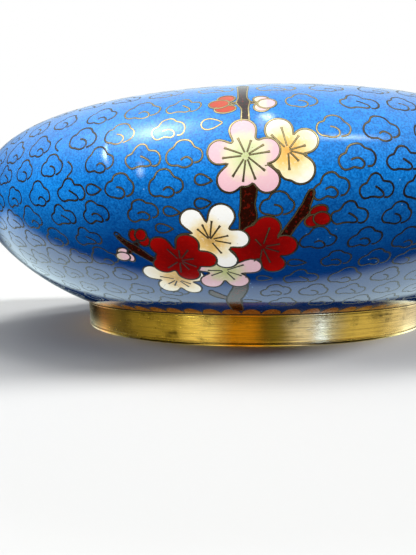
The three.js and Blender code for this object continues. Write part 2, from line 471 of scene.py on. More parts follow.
class Finish:
    """A material, or the world, being made from procedural nodes."""

    def __init__(self, owner):
        self.owner = owner
        owner.use_nodes = True
        self.tree = owner.node_tree

    def node(self, kind, settings, inputs, output=0):
        """Adds a node, makes its settings, feeds its inputs and returns one of its outputs."""
        made = self.tree.nodes.new(kind)
        stops = settings.pop("stops", None)
        for name, value in settings.items():
            setattr(made, name, value)
        if stops:
            ramp = made.color_ramp
            while len(ramp.elements) < len(stops):
                ramp.elements.new(1.0)
            for element, (place, colour) in zip(ramp.elements, stops):
                element.position, element.color = place, (*colour, 1.0)
        for key, value in inputs.items():
            self.feed(made.inputs[key], value)
        return Signal(self, made.outputs[output])

    def feed(self, socket, value):
        """Links a signal to a socket, or sets the socket's own value."""
        if isinstance(value, Signal):
            self.tree.links.new(value.socket, socket)
        elif hasattr(socket.default_value, "__len__") and len(value) < len(socket.default_value):
            socket.default_value = (*value, 1.0)
        else:
            socket.default_value = value

    def mix(self, share, one, other):
        """One colour at share 0 and the other at 1."""
        return self.node("ShaderNodeMix", {"data_type": "RGBA"}, {0: share, 6: one, 7: other}, 2)

    def noise(self, where, size, detail=3.0, rough=0.5, warp=0.0):
        """Soft noise whose lumps are about so many millimetres across."""
        return self.node("ShaderNodeTexNoise", {},
                         {"Vector": where, "Scale": 0.5 / (size * MM), "Detail": detail,
                          "Roughness": rough, "Distortion": warp})

    def specks(self, where, size, share):
        """Scattered round specks: 1 at their middle, 0 away from them."""
        near = self.node("ShaderNodeTexVoronoi", {}, {"Vector": where, "Scale": 1.0 / (size * MM)})
        return 1.0 - near.above(share * 0.4, share)

    def scaled(self, where, factors):
        """The place with each of its parts multiplied."""
        return self.node("ShaderNodeVectorMath", {"operation": "MULTIPLY"}, {0: where, 1: factors})

    def along(self, vector, direction):
        """How far a vector goes in a direction."""
        return self.node("ShaderNodeVectorMath", {"operation": "DOT_PRODUCT"},
                         {0: vector, 1: direction}, "Value")

    def apart(self, where, spot):
        """How far each point is from a spot, in metres."""
        off = self.node("ShaderNodeVectorMath", {"operation": "SUBTRACT"}, {0: where, 1: spot})
        return self.node("ShaderNodeVectorMath", {"operation": "LENGTH"}, {0: off}, "Value")

    def part(self, vector, axis):
        """One of a vector's three parts."""
        return self.node("ShaderNodeSeparateXYZ", {}, {0: vector}, axis)

    def place(self):
        """The point being shaded, in the object's own metres."""
        return self.node("ShaderNodeTexCoord", {}, {}, "Object")


class Enamel(Finish):
    """A material on the usual shader, with its fixed values set on the shader's own sockets."""

    def __init__(self, name, **fixed):
        super().__init__(bpy.data.materials.new(name))
        self.shader = self.tree.nodes["Principled BSDF"]
        for socket, value in fixed.items():
            self.shader.inputs[socket.replace("_", " ")].default_value = value

    def wear(self, colour, roughness, bump=None, depth=0.01, **others):
        """Links what varies: colour, roughness, a bump of so many millimetres, and any others."""
        self.feed(self.shader.inputs["Base Color"], colour)
        self.feed(self.shader.inputs["Roughness"], roughness)
        for socket, value in others.items():
            self.feed(self.shader.inputs[socket], value)
        if bump is not None:
            normal = self.node("ShaderNodeBump", {},
                               {"Strength": 1.0, "Distance": depth * MM, "Height": bump})
            self.feed(self.shader.inputs["Normal"], normal)
        return self.owner


def blue_enamel(name, deep, light, low):
    """Mottled blue glass with specks and the faint waves of hand polishing, and painted shade that deepens
    the blue towards the foot.
    """
    enamel = Enamel(name, IOR=1.5)
    where = enamel.place()
    clouded = enamel.noise(where, 8.0, 2.0)
    grain = enamel.noise(where, 0.6, 3.0, 0.7)
    fine = enamel.noise(where, 0.22, 1.0, 0.6)
    share = clouded.above(0.3, 0.7) * 0.22 + grain.above(0.34, 0.66) * 0.28
    share = share + fine.above(0.36, 0.64) * 0.5
    colour = enamel.mix(share, deep, light)
    # Painted shade: the blue darkens with height towards the foot, where less light falls, and darker still
    # just over the foot ring
    height = enamel.part(where, 2) + (clouded - 0.5) * (8 * MM)
    colour = enamel.mix(0.9 - height.above(25 * MM, 52 * MM) * 0.9, colour, low)
    colour = enamel.mix(0.8 - height.above(8 * MM, 17 * MM) * 0.8, colour, tuple(0.12 * c for c in low))
    pale = enamel.specks(where, 2.9, 0.08) * enamel.noise(where, 12.0).above(0.42, 0.6)
    dark = enamel.specks(enamel.scaled(where, (1.13, 1.13, 1.13)), 5.2, 0.05)
    colour = enamel.mix(pale * 0.5, colour, (0.3, 0.6, 0.95))
    colour = enamel.mix(dark * 0.75, colour, (0.0, 0.02, 0.12))
    waves = enamel.noise(where, 6.0, 1.0) * 3.0 + enamel.noise(where, 1.4, 2.0) * 0.6
    return enamel.wear(colour, fine * 0.04 + 0.055, waves + dark * -1.5, 0.02)


def blossom_enamel(name, stops, mottle):
    """Enamel that changes from a blossom's throat to its petal tips, read from its own UV map."""
    enamel = Enamel(name, IOR=1.5)
    where = enamel.place()
    flat = enamel.node("ShaderNodeUVMap", {"uv_map": "petal"}, {})
    reach = enamel.apart(flat, (0.5, 0.5, 0.0)) * 2
    patchy = enamel.noise(where, 1.3, 3.0, 0.65)
    colour = enamel.node("ShaderNodeValToRGB", {"stops": stops}, {0: reach + (patchy - 0.5) * 0.38})
    fine = enamel.noise(where, 0.35, 3.0, 0.6)
    colour = enamel.mix(fine.above(0.5, 0.78) * 0.5, colour, mottle)
    specks = enamel.specks(where, 2.6, 0.06)
    colour = enamel.mix(specks * 0.5, colour, (0.12, 0.05, 0.02))
    return enamel.wear(colour, fine * 0.06 + 0.08, enamel.noise(where, 2.5, 2.0), 0.03)


def bark_enamel(name, dark, red):
    """Near-black brown enamel with grains of red and a few of green."""
    enamel = Enamel(name, IOR=1.5)
    where = enamel.place()
    grain = enamel.noise(where, 0.36, 2.0, 0.6)
    colour = enamel.mix(grain.above(0.54, 0.7), dark, red)
    colour = enamel.mix(enamel.specks(where, 1.7, 0.2) * 0.7, colour, (0.01, 0.03, 0.015))
    return enamel.wear(colour, grain * 0.06 + 0.1, grain, 0.02)


def gilt(name, gold, tarnish):
    """Gilt copper wire, brown where the gilding has gone, with a painted highlight that keeps it bright round
    one spot and painted shade that darkens it low on the bowl.
    """
    metal = Enamel(name)
    where = metal.place()
    # Painted highlight: the gilding is painted bright near one spot and dull away from it, mixed with real
    # wear from noise
    away_from_painted_glint = metal.apart(where, OUTSIDE.place(*GILT_GLINT_SPOT)).above(17 * MM, 35 * MM)
    wear_and_shade = metal.noise(where, 2.2, 3.0, 0.6).above(0.3, 0.66) * 0.4 + away_from_painted_glint * 0.75
    fine = metal.noise(where, 0.3, 2.0)
    # Painted shade: the wires turn near-black low on the bowl, where they reflect darker surroundings
    low = 1.0 - metal.part(where, 2).above(20 * MM, 46 * MM)
    crown = metal.node("ShaderNodeAttribute", {"attribute_name": "crown"}, {}, "Fac")
    seam = 1.0 - crown.above(0.3, 0.6)
    colour = metal.mix(wear_and_shade + fine * 0.1, gold, tarnish)
    colour = metal.mix(low * 0.65, colour, (0.008, 0.01, 0.014))
    colour = metal.mix(seam * 0.9, colour, (0.012, 0.008, 0.006))
    plain = wear_and_shade * 0.5 + low * 0.3
    return metal.wear(colour, wear_and_shade * 0.12 + fine * 0.08 - low * 0.08 + 0.23, fine, 0.01, Metallic=1.0 - plain)


def brushed_brass(name, gold, olive, copper, brushed=1.0):
    """Brass brushed round the ring, with olive and coppery tarnish, small dark pits, and tones round the ring
    that are partly tarnish and partly painted reflection.
    """
    metal = Enamel(name, Metallic=1.0)
    where = metal.place()
    lines = metal.noise(metal.scaled(where, (5.0, 5.0, 200.0)), 40.0, 4.0, 0.7)
    drift = metal.noise(metal.scaled(where, (1.0, 1.0, 3.0)), 9.0, 3.0, 0.6)
    cloudy = metal.noise(where, 4.0, 4.0, 0.6)
    round_ring = metal.node("ShaderNodeMath", {"operation": "ARCTAN2"},
                            {0: metal.part(where, 0), 1: metal.part(where, 1) * -1.0})
    turn = round_ring * (1 / math.tau) + 0.5 + (drift - 0.5) * 0.02
    # Painted highlight: the pale tone lightens the brass in the zones where it reflects bright light
    pale = tuple(0.6 * c + 0.4 * d for c, d in zip(gold, (0.95, 0.86, 0.62)))
    tones = {"gold": gold, "olive": olive, "copper": copper, "pale": pale}
    stops = tuple((azimuth / 360 + 0.5, tones[tone]) for azimuth, tone in RING_TARNISH_AND_REFLECTIONS)
    colour = metal.node("ShaderNodeValToRGB", {"stops": stops}, {0: turn})
    colour = metal.mix(1.0 - brushed, colour, gold)
    colour = metal.mix(lines.above(0.42, 0.7) * 0.5, colour, tuple(0.35 * c for c in olive))
    stain = metal.specks(where, 7.0, 0.08) * cloudy.above(0.4, 0.6)
    pits = metal.specks(metal.scaled(where, (1.3, 1.3, 1.3)), 3.1, 0.06)
    streaks = metal.noise(metal.scaled(where, (0.35, 0.35, 2.2)), 1.4, 4.0, 0.7)
    dirt = cloudy.above(0.44, 0.7) * streaks.above(0.46, 0.62)
    spoiled = (stain * 0.5 + pits * 0.6 + cloudy.above(0.5, 0.7) * 0.25 + dirt * 0.6) * brushed
    colour = metal.mix(spoiled, colour, (0.07, 0.042, 0.006))
    roughness = lines * 0.14 + cloudy * 0.1 + 0.1 + spoiled * 0.25
    return metal.wear(colour, roughness, lines - pits * 2.0, 0.008 * brushed + 0.002)


# What a user would change
def colour_property(name, text, value):
    """A colour that a user may change."""
    return FloatVectorProperty(name=name, description=text, default=value, size=3, min=0.0, max=1.0,
                               subtype="COLOR")


def length_property(name, text, value):
    """A length that a user may change, given here in millimetres."""
    return FloatProperty(name=name, description=text, default=value * MM, min=0.0,
                         unit="LENGTH", subtype="DISTANCE")


class BowlSizes(bpy.types.PropertyGroup):
    """Sizes of the wires, the clouds, the wall and the border"""

    wire_width: length_property("Wire width", "Width of the clouds' gilt wires", 0.46)
    outline_width: length_property("Outline width", "Width of the wires round blossoms and branches", 0.48)
    wire_stand: length_property("Wire stand", "How far a cloud's wire stands off the enamel", 0.022)
    outline_stand: length_property("Outline stand", "How far a spray's wires stand off the enamel", 0.05)
    cloud_size: FloatProperty(name="Cloud size", description="Size of a cloud against its drawing",
                              default=1.06, min=0.1)
    cloud_pitch: length_property("Cloud pitch", "Distance from a cloud to the next in its row", 11.8)
    wall: length_property("Wall", "Thickness of the enamelled copper", 2.0)
    scallops: IntProperty(name="Scallops", description="Scallops in the border over the foot",
                          default=75, min=8)
    scallop_height: length_property("Scallop height", "Height of one scallop up the wall", 4.3)


class BowlColours(bpy.types.PropertyGroup):
    """Colours of the enamels, the gilding, the brass and the floor"""

    blue_deep: colour_property("Deep blue", "Darkest tone of the blue ground", (0.001, 0.1, 0.38))
    blue_light: colour_property("Light blue", "Lightest tone of the blue ground", (0.012, 0.3, 0.9))
    # Painted shade: the dark blue that the ground fades to towards the foot, in place of the light that falls
    # off low on the bowl
    blue_foot: colour_property("Painted foot shade", "Blue of the ground towards the foot", (0.0, 0.018, 0.13))
    inside_deep: colour_property("Inside deep", "Darkest tone of the plain inside", (0.01, 0.12, 0.34))
    inside_light: colour_property("Inside light", "Lightest tone of the plain inside", (0.05, 0.3, 0.62))
    # The wires are mixed between gold and tarnish by real wear and by the painted highlight's falloff
    gold: colour_property("Gold", "Gilding that is still bright", (0.58, 0.44, 0.21))
    tarnish: colour_property("Tarnish", "Wire where the gilding has gone", (0.03, 0.024, 0.02))
    brass: colour_property("Brass", "Clean brass of the foot", (0.9, 0.59, 0.1))
    # Olive and copper also colour the ring's zones, which are partly painted reflection
    olive: colour_property("Olive", "Greenish tarnish of the brass", (0.54, 0.33, 0.03))
    copper: colour_property("Copper", "Coppery tarnish of the brass", (0.8, 0.3, 0.008))
    bark: colour_property("Bark", "Ground of the branches", (0.02, 0.003, 0.001))
    scallop: colour_property("Scallop", "Brown of the scalloped border", (0.22, 0.06, 0.008))
    floor: colour_property("Floor", "Pale floor of the studio", (0.62, 0.62, 0.61))


# Blossom enamels: colours from the throat (0) to the tips (1), and the mottle's colour
BLOSSOM_ENAMELS = {
    "pink": (
        ((0.0, (0.52, 0.58, 0.26)), (0.22, (0.66, 0.7, 0.38)), (0.4, (0.8, 0.72, 0.48)),
         (0.58, (0.82, 0.52, 0.56)), (1.0, (0.82, 0.48, 0.56))),
        (0.84, 0.66, 0.68)),
    "yellow": (
        ((0.0, (0.8, 0.4, 0.08)), (0.28, (0.88, 0.56, 0.16)), (0.5, (0.92, 0.78, 0.46)),
         (0.78, (0.95, 0.94, 0.88))),
        (0.95, 0.92, 0.8)),
    "white": (
        ((0.0, (0.55, 0.32, 0.08)), (0.28, (0.84, 0.56, 0.18)), (0.5, (0.95, 0.86, 0.62)),
         (0.68, (0.98, 0.98, 0.94))),
        (0.95, 0.92, 0.82)),
    "red": (
        ((0.0, (0.14, 0.001, 0.001)), (0.5, (0.22, 0.001, 0.001)), (1.0, (0.36, 0.002, 0.001))),
        (0.44, 0.004, 0.001)),
    "vermilion": (
        ((0.0, (0.42, 0.03, 0.01)), (1.0, (0.58, 0.07, 0.02))),
        (0.62, 0.14, 0.05)),
    "mauve": (
        ((0.0, (0.45, 0.5, 0.2)), (0.34, (0.6, 0.58, 0.36)), (0.55, (0.75, 0.5, 0.55)),
         (1.0, (0.8, 0.5, 0.58))),
        (0.85, 0.72, 0.72)),
    "cream": (
        ((0.0, (0.55, 0.34, 0.1)), (0.3, (0.78, 0.56, 0.24)), (0.52, (0.9, 0.82, 0.6)),
         (0.8, (0.94, 0.92, 0.82))),
        (0.9, 0.85, 0.7)),
}
FINISHES = {}


def finishes():
    """Every finish by name, made once and shared."""
    if not FINISHES:
        colours = bpy.context.scene.bowl_colours
        tone = {name: tuple(getattr(colours, name)) for name in BowlColours.__annotations__}
        FINISHES["ground"] = blue_enamel("blue_ground", tone["blue_deep"], tone["blue_light"],
                                         tone["blue_foot"])
        # The plain inside gets the same painted shade, darkening to its deep tone towards its floor
        FINISHES["inside"] = blue_enamel("plain_inside", tone["inside_deep"], tone["inside_light"],
                                         tone["inside_deep"])
        FINISHES["gilt"] = gilt("gilt_wire", tone["gold"], tone["tarnish"])
        FINISHES["brass"] = brushed_brass("brushed_brass", tone["brass"], tone["olive"], tone["copper"])
        FINISHES["lip"] = brushed_brass("polished_brass", tone["brass"], tone["brass"], tone["copper"],
                                        brushed=0.2)
        FINISHES["bark"] = bark_enamel("bark_enamel", tone["bark"], (0.13, 0.005, 0.001))
        FINISHES["scallop"] = bark_enamel("scallop_enamel", tone["scallop"], (0.42, 0.15, 0.03))
        for name, (stops, mottle) in BLOSSOM_ENAMELS.items():
            FINISHES[name] = blossom_enamel(name + "_enamel", stops, mottle)
    return FINISHES


# Drawings on the wall
def petal_edge(petals, direction):
    """How far a blossom's outline is from its centre in one direction."""
    far = THROAT_SHARE * max(reach for _, reach, _ in petals)
    for turn, reach, radius in petals:
        off = math.radians(direction - turn)
        across = reach * math.sin(off)
        if abs(across) < radius and math.cos(off) > 0:
            far = max(far, reach * math.cos(off) + math.sqrt(radius ** 2 - across ** 2))
    return far


def blossom_outline(petals):
    """The outline's distance from the centre, point by point, eased as a bent wire is."""
    count = BLOSSOM_POINTS
    far = [petal_edge(petals, 360 * i / count) for i in range(count)]
    return [(far[i - 1] + 2 * far[i] + far[(i + 1) % count]) / 4 for i in range(count)]


def round_stroke(centre, distances):
    """A closed stroke round a centre as (azimuth, arc) points."""
    count = len(distances)
    stroke = []
    for i, far in enumerate(distances):
        angle = math.tau * i / count
        arc = centre[1] + far * math.sin(angle)
        stroke.append((OUTSIDE.turn(centre[0], arc, far * math.cos(angle)), arc))
    return stroke


def lobe_distances(half_width, half_height, turn):
    """Distances of an oval lobe's edge from its middle."""
    distances = []
    for i in range(LOBE_POINTS):
        angle = math.tau * i / LOBE_POINTS - math.radians(turn)
        distances.append(1 / math.hypot(math.cos(angle) / half_width, math.sin(angle) / half_height))
    return distances


def eased(a, b, c, d, t):
    """A value at a share of the way from b to c, on a smooth run through all four."""
    bend, turn = 2 * a - 5 * b + 4 * c - d, 3 * b - a - 3 * c + d
    return 0.5 * (2 * b + (c - a) * t + bend * t * t + turn * t ** 3)


def smooth_points(points, steps=6):
    """A smooth run through points of any number of values."""
    run = []
    for i in range(len(points) - 1):
        before, here = points[max(i - 1, 0)], points[i]
        there, after = points[i + 1], points[min(i + 2, len(points) - 1)]
        for step in range(steps):
            run.append(tuple(eased(*values, step / steps) for values in zip(before, here, there, after)))
    run.append(tuple(points[-1]))
    return run


def branch_sides(points):
    """The left and right sides of a branch, round at its tip, as (azimuth, arc) points."""
    middle = smooth_points(points)
    tip_azimuth, tip_arc, tip_half = middle[-1]
    along, up = OUTSIDE.flat(tip_azimuth, tip_arc, middle[-2][:2])
    length = math.hypot(along, up)
    for angle in (math.radians(degrees) for degrees in (20, 40, 60, 75, 86)):
        reach = tip_half * math.sin(angle) / length
        arc = tip_arc + up * reach
        middle.append((OUTSIDE.turn(tip_azimuth, arc, along * reach), arc, tip_half * math.cos(angle)))
    left, right = [], []
    for i, (azimuth, arc, half) in enumerate(middle):
        before, after = middle[max(i - 1, 0)], middle[min(i + 1, len(middle) - 1)]
        along, up = OUTSIDE.flat(after[0], after[1], before[:2])
        length = math.hypot(along, up) or 1.0
        across, rise = up / length * half, -along / length * half
        left.append((OUTSIDE.turn(azimuth, arc - rise, -across), arc - rise))
        right.append((OUTSIDE.turn(azimuth, arc + rise, across), arc + rise))
    return left, right


def inside_of(polygon, point):
    """Whether a point lies inside a closed stroke."""
    x, y = point
    inside = False
    for (x0, y0), (x1, y1) in zip(polygon, polygon[1:] + polygon[:1]):
        if (y0 > y) != (y1 > y) and x < (x1 - x0) * (y - y0) / (y1 - y0) + x0:
            inside = not inside
    return inside


def uncovered(stroke, closed, covers):
    """The runs of a stroke that no shape in front of it covers, as (points, closed)."""
    hidden = [any(inside_of(cover, point[:2]) for cover in covers) for point in stroke]
    if not any(hidden):
        return [(stroke, closed)]
    if closed:
        first = next((i for i, covered in enumerate(hidden) if covered), 0)
        stroke, hidden = stroke[first:] + stroke[:first + 1], hidden[first:] + hidden[:first + 1]
    runs, run = [], []
    for i, point in enumerate(stroke):
        if not hidden[i] or (i + 1 < len(stroke) and not hidden[i + 1]) or (i and not hidden[i - 1]):
            run.append(point)
        else:
            if len(run) > 2:
                runs.append((run, False))
            run = []
    if len(run) > 2:
        runs.append((run, False))
    return runs


def wire(name, strokes, centre, width, lift=0.0):
    """Wires along strokes of (azimuth, arc) points, or (azimuth, arc, swell), soldered to the wall."""
    flat = [([(*OUTSIDE.flat(*point[:2], centre), 0.0, *point[2:]) for point in stroke], closed)
            for stroke, closed in strokes]
    piece = drawn(name, flat, width / MM)
    lay_wire(piece, *centre, width, lift)
    return piece


def lay_wire(piece, azimuth, arc, width, lift=0.0):
    """Lays a drawn wire on the wall, sunk so that only its crown stands off the enamel."""
    sizes = bpy.context.scene.bowl_sizes
    half = width / 2 / MM
    stand = sizes.outline_stand if width > sizes.wire_width else sizes.wire_stand
    lay(piece, azimuth, arc, lift, stand / MM / half, half)


def disc(points, rings):
    """A flat disc of rings about a middle point, radius 1 mm, copied for blossoms or for lobes."""
    bpy.ops.mesh.primitive_circle_add(vertices=points, radius=MM, fill_type="NGON")
    piece = started("enamel_disc")
    bpy.ops.object.mode_set(mode="EDIT")
    bpy.ops.mesh.select_mode(type="FACE")
    bpy.ops.mesh.select_all(action="SELECT")
    for _ in range(rings - 1):
        bpy.ops.mesh.inset(thickness=MM / rings)
    bpy.ops.mesh.poke()
    bpy.ops.object.mode_set(mode="OBJECT")
    return piece


def inlay(name, template, centre, distances, lift, throat=(0.0, 0.0)):
    """A patch of enamel whose edge has the given distances from its centre, and its UV map."""
    piece = linked(name, template.data.copy())
    count = len(distances)
    flat = []
    for vertex in piece.data.vertices:
        x, y = vertex.co.x / MM, vertex.co.y / MM
        turn = math.atan2(y, x) % math.tau / math.tau * count
        low = int(turn) % count
        far = distances[low] + (distances[(low + 1) % count] - distances[low]) * (turn - int(turn))
        flat.append((x * far, y * far))
    uv = piece.data.uv_layers.new(name="petal")
    for loop in piece.data.loops:
        x, y = flat[loop.vertex_index]
        uv.data[loop.index].uv = (0.5 + (x + throat[0]) / PETAL_MAP, 0.5 + (y + throat[1]) / PETAL_MAP)
    for vertex, (x, y) in zip(piece.data.vertices, flat):
        vertex.co = (x * MM, y * MM, 0.0)
    lay(piece, *centre, lift=lift)
    modifier(piece, "SOLIDIFY", thickness=INLAY_DEPTH * MM, offset=-1.0)
    return piece


def branch_inlay(name, left, right, lift):
    """A strip of enamel between a branch's two sides."""
    rows = len(left)
    bpy.ops.mesh.primitive_grid_add(x_subdivisions=4, y_subdivisions=rows - 1, size=2 * MM)
    piece = started(name)
    for vertex in piece.data.vertices:
        row = round((vertex.co.y / MM + 1) / 2 * (rows - 1))
        share = (vertex.co.x / MM + 1) / 2
        azimuth, arc = (a + (b - a) * share for a, b in zip(left[row], right[row]))
        vertex.co = OUTSIDE.place(azimuth, arc, lift)
    modifier(piece, "SOLIDIFY", thickness=INLAY_DEPTH * MM, offset=-1.0)
    return piece


def drop_stroke(azimuth, arc, length, width, turn, is_open):
    """A drop of wire with a round end and a point, open at the point or closed."""
    stroke = []
    lean = math.radians(turn)
    gap = 1.2 if is_open else 0.0
    for i in range(29):
        angle = math.tau * (i + gap) / (28 + 2 * gap)
        along = length * (0.5 + 0.5 * math.cos(angle))
        up = 0.5 * width * math.sin(angle) * math.sin(angle / 2) * 1.25
        x = along * math.cos(lean) - up * math.sin(lean)
        y = along * math.sin(lean) + up * math.cos(lean)
        stroke.append((OUTSIDE.turn(azimuth, arc + y, x), arc + y))
    return stroke if is_open else stroke[:-1]


def enamel_lift(layer):
    """How far in millimetres a layer of enamel lies over the ground."""
    return FIRST_LIFT + LAYER_LIFT * layer


def stamen(azimuth, arc, direction, start, end):
    """One stamen of wire from a blossom's centre, with a small knob at its end."""
    angle = math.radians(direction)
    stroke = []
    for i in range(13):
        far = start + (end - start) * i / 12
        up = far * math.sin(angle)
        swell = 0.78 + (0.35 if i > 10 else 0.1 * i / 10)
        stroke.append((OUTSIDE.turn(azimuth, arc + up, far * math.cos(angle)), arc + up, swell))
    return stroke


def bent_stroke(azimuth, arc, height, bulge):
    """A short upright wire that bulges to one side."""
    stroke = []
    for i in range(13):
        t = i / 6 - 1
        stroke.append((OUTSIDE.turn(azimuth, arc, bulge * (1 - t * t) - bulge / 2), arc + height / 2 * t))
    return stroke


# Every shape of the sprays, which the clouds keep clear of
SPRAY_SHAPES = []
# How far in millimetres a bud's lobes lie from their throat, so that they show a petal's outer colours
BUD_THROAT = (5.5, 0.0)


def lay_blossoms(blossoms, template):
    """Lays the blossoms' enamel, and returns their outlines and their wires."""
    made = finishes()
    width = bpy.context.scene.bowl_sizes.outline_width
    outlines = [(layer, round_stroke((azimuth, arc), blossom_outline(petals)))
                for _, azimuth, arc, layer, _, petals, _ in blossoms]
    wires = []
    for blossom, (_, outline) in zip(blossoms, outlines):
        name, azimuth, arc, layer, enamel, petals, stamens = blossom
        lift = enamel_lift(layer)
        piece = inlay(name, template, (azimuth, arc), blossom_outline(petals), lift)
        finished(piece, made[enamel])
        front = [other for above, other in outlines if above > layer]
        strokes = uncovered(outline, True, front)
        for drawing in stamens:
            strokes += uncovered(stamen(azimuth, arc, *drawing), False, front)
        if strokes:
            wires.append(wire(name + "_wires", strokes, (azimuth, arc), width, lift))
    return [outline for _, outline in outlines], wires


def lay_buds(buds, covers, template):
    """Lays the buds, each lobe over the one before, and returns all that covers branches, and the wires."""
    made = finishes()
    width = bpy.context.scene.bowl_sizes.outline_width
    covers, wires = list(covers), []
    for name, enamel, lobes in buds:
        parts, shapes, strokes = [], [], []
        for number, (azimuth, arc, half_width, half_height, turn) in enumerate(lobes):
            distances = lobe_distances(half_width, half_height, turn)
            lift = enamel_lift(2 + number)
            parts.append(inlay(name, template, (azimuth, arc), distances, lift, BUD_THROAT))
            shapes.append(round_stroke((azimuth, arc), distances))
        for number, shape in enumerate(shapes):
            strokes += uncovered(shape, True, shapes[number + 1:] + covers)
        finished(joined(name, parts), made[enamel])
        wires.append(wire(name + "_wires", strokes, lobes[0][:2], width, enamel_lift(1 + len(lobes))))
        covers += shapes
    return covers, wires


def lay_branches(branches, covers):
    """Lays the branches' enamel, and returns their outlines and their wires."""
    bark = finishes()["bark"]
    width = bpy.context.scene.bowl_sizes.outline_width
    lift = enamel_lift(0)
    outlines, wires = [], []
    for name, points in branches:
        left, right = branch_sides(points)
        finished(branch_inlay(name, left, right, lift), bark)
        outline = left + right[::-1]
        strokes = uncovered(outline, True, covers + outlines)
        middle = points[len(points) // 2][:2]
        wires.append(wire(name + "_wires", strokes, middle, width, lift))
        outlines.append(outline)
    return outlines, wires


def spray(title, blossoms, buds, branches, drops, bent=()):
    """One spray: enamel inlays for blossoms, buds and branches, and the wires round them."""
    width = bpy.context.scene.bowl_sizes.wire_width
    blossom_disc, lobe_disc = disc(BLOSSOM_POINTS, BLOSSOM_RINGS), disc(LOBE_POINTS, LOBE_RINGS)
    outlines, wires = lay_blossoms(blossoms, blossom_disc)
    covers, bud_wires = lay_buds(buds, outlines, lobe_disc)
    sides, branch_wires = lay_branches(branches, covers)
    wires += bud_wires + branch_wires
    drop_strokes = [drop_stroke(*drop) for drop in drops]
    for drop, stroke in zip(drops, drop_strokes):
        wires.append(wire("drop_wire", [(stroke, not drop[-1])], drop[:2], width))
    for arc in bent:
        wires.append(wire("bent_wire", [(bent_stroke(*arc), False)], arc[:2], width))
    SPRAY_SHAPES.extend(covers + sides + drop_strokes)
    finished(joined(title + "_wires", wires), finishes()["gilt"], angle=50)
    pick(blossom_disc, lobe_disc)
    bpy.ops.object.delete()


# The studio
# Soft windows seen in the gloss: direction, direction across it, half width, half height, brightness
WINDOWS = (
    ((-0.46, -0.39, 0.8), (0.7, -0.7, 0.04), 0.13, 0.15, 11.0),
    ((-0.47, -0.36, 0.81), (0.7, -0.7, 0.04), 0.32, 0.3, 5.0),
    ((0.49, -0.59, 0.64), (0.8, 0.55, -0.1), 0.18, 0.05, 12.0),
    ((0.08, -0.3, 0.95), (1.0, 0.1, -0.06), 0.024, 0.1, 24.0),
    ((0.06, -0.47, 0.88), (1.0, 0.1, -0.06), 0.02, 0.14, 6.0),
    ((-0.75, -0.43, 0.5), (0.63, -0.69, 0.35), 0.01, 0.13, 36.0),
    ((-0.63, -0.74, 0.23), (0.77, -0.62, 0.1), 0.012, 0.1, 16.0),
)
# Lamps: direction, angle in degrees, strength and the collection that they light
SUNS = (
    ("key_window", (-0.42, -0.68, 0.6), 50, 2.6, "bowl_pieces"),
    ("front_window", (-0.1, -1.0, 0.1), 60, 0.9, "bowl_pieces"),
    ("roof_window", (0.0, -0.2, 1.0), 50, 1.1, "bowl_pieces"),
    ("right_window", (0.85, 0.12, 0.5), 16, 3.8, "floor_pieces"),
    ("left_window", (-0.8, -0.1, 0.55), 16, 0.9, "floor_pieces"),
    ("ceiling", (0.1, 0.1, 1.0), 22, 1.1, "floor_pieces"),
    ("back_window", (0.05, 1.2, 1.0), 8, 0.7, "floor_pieces"),
)
# Panels seen only in the brass: azimuth, width in degrees, brightness. One is bluish, as daylight is
BRASS_PANELS = (
    (-104, 30, 0.22), (-77, 16, 0.36), (-57, 24, 0.55), (-32, 26, 0.9), (-6, 22, 0.56), (15, 12, 0.25),
    (30, 16, 0.75), (42.5, 3.0, 5.5), (52, 11, 0.45), (68, 20, 0.62), (85, 16, 0.5), (112, 40, 0.8),
)
COOL_PANEL = 7
COOL = (0.45, 0.68, 1.5)


def linked_to(name):
    """The collection of the pieces that some lamps light, made at its first use."""
    return bpy.data.collections.get(name) or bpy.data.collections.new(name)


def aimed(toward):
    """Rotation of a lamp that stands in a direction and shines back at the bowl."""
    x, y, z = toward
    return (math.atan2(math.hypot(x, y), z), 0.0, math.atan2(x, -y))


def soft_sun(name, toward, angle, strength, lit):
    """A soft lamp that lights one collection and isn't seen in the gloss."""
    bpy.ops.object.light_add(type="SUN", location=toward, rotation=aimed(toward))
    lamp = bpy.context.object
    lamp.name = name
    lamp.data.angle = math.radians(angle)
    lamp.data.energy = strength
    lamp.visible_glossy = False
    lamp.light_linking.receiver_collection = linked_to(lit)


def soft_panel(name, toward, turned, size, radiance):
    """A panel that lights the brass alone."""
    bpy.ops.object.light_add(type="AREA", location=toward, rotation=turned)
    panel = bpy.context.object
    panel.name = name
    panel.data.shape = "RECTANGLE"
    panel.data.size, panel.data.size_y = size
    panel.data.energy = radiance * math.pi * size[0] * size[1]
    panel.light_linking.receiver_collection = linked_to("brass_pieces")
    return panel


def window(air, way, centre, across, wide, tall):
    """A soft-edged window in the surroundings."""
    length = math.hypot(*centre)
    middle = [part / length for part in centre]
    lean = sum(a * b for a, b in zip(across, middle))
    flat = [a - lean * b for a, b in zip(across, middle)]
    length = math.hypot(*flat)
    flat = [part / length for part in flat]
    up = [middle[1] * flat[2] - middle[2] * flat[1], middle[2] * flat[0] - middle[0] * flat[2],
          middle[0] * flat[1] - middle[1] * flat[0]]
    side, rise = air.along(way, flat) * (1 / wide), air.along(way, up) * (1 / tall)
    return 0.37 ** (side * side + rise * rise) * air.along(way, middle).above(0.0, 0.2)


def studio_floor():
    """The pale floor, which only the camera sees."""
    bpy.ops.mesh.primitive_circle_add(vertices=96, radius=6.0, fill_type="NGON")
    floor = started("studio_floor")
    pale = Enamel("pale_floor", IOR=1.3)
    tone = pale.noise(pale.place(), 60.0, 2.0)
    tint = tuple(bpy.context.scene.bowl_colours.floor)
    colour = pale.mix(tone * 0.2, tint, tuple(0.97 * c for c in tint))
    floor.data.materials.append(pale.wear(colour, tone * 0.1 + 0.8))
    floor.visible_glossy = floor.visible_diffuse = floor.visible_shadow = False
    linked_to("floor_pieces").objects.link(floor)


